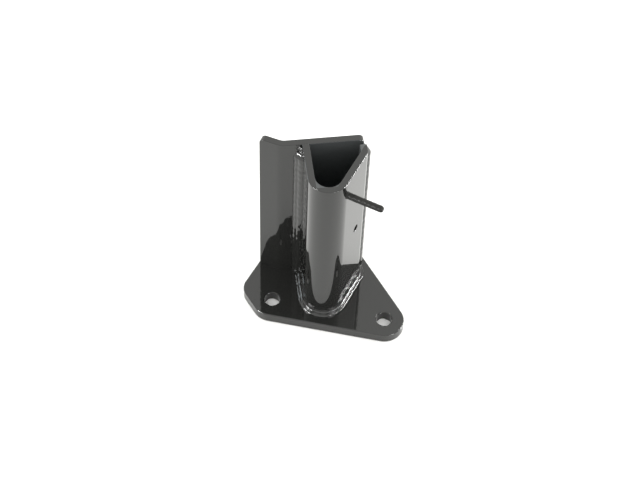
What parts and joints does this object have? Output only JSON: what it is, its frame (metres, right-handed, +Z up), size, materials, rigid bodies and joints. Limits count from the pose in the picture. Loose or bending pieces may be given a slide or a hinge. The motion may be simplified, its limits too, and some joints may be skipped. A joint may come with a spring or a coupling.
{
  "type": "bolt-down post socket",
  "caption": "Upright welded steel socket for a post foot: folded channel and winged back plate on a triangular base plate with bolt holes and a side pin.",
  "frame": {"origin": "On the underside of the base plate, at the middle (centroid) of the three bolt holes.", "axes": "+Z up, out of the socket's mouth. +X along the back plate, from its wing towards the socket's slanted wall. +Y from the socket's nose towards the back plate."},
  "size_m": [0.137, 0.1553, 0.18],
  "materials": {
    "plate_enamel": "gloss black enamel over steel plate, slight orange peel",
    "weld_enamel": "gloss black enamel over rippled weld beads",
    "pin_enamel": "black enamel over rough round bar"
  },
  "bodies": {
    "root": {"base_plate": "plate_enamel", "back_plate": "plate_enamel", "socket_channel": "plate_enamel", "side_pin": "pin_enamel", "seam_weld_left": "weld_enamel", "seam_weld_right": "weld_enamel", "foot_weld": "weld_enamel", "rear_foot_weld": "weld_enamel"}
  },
  "joints": []
}
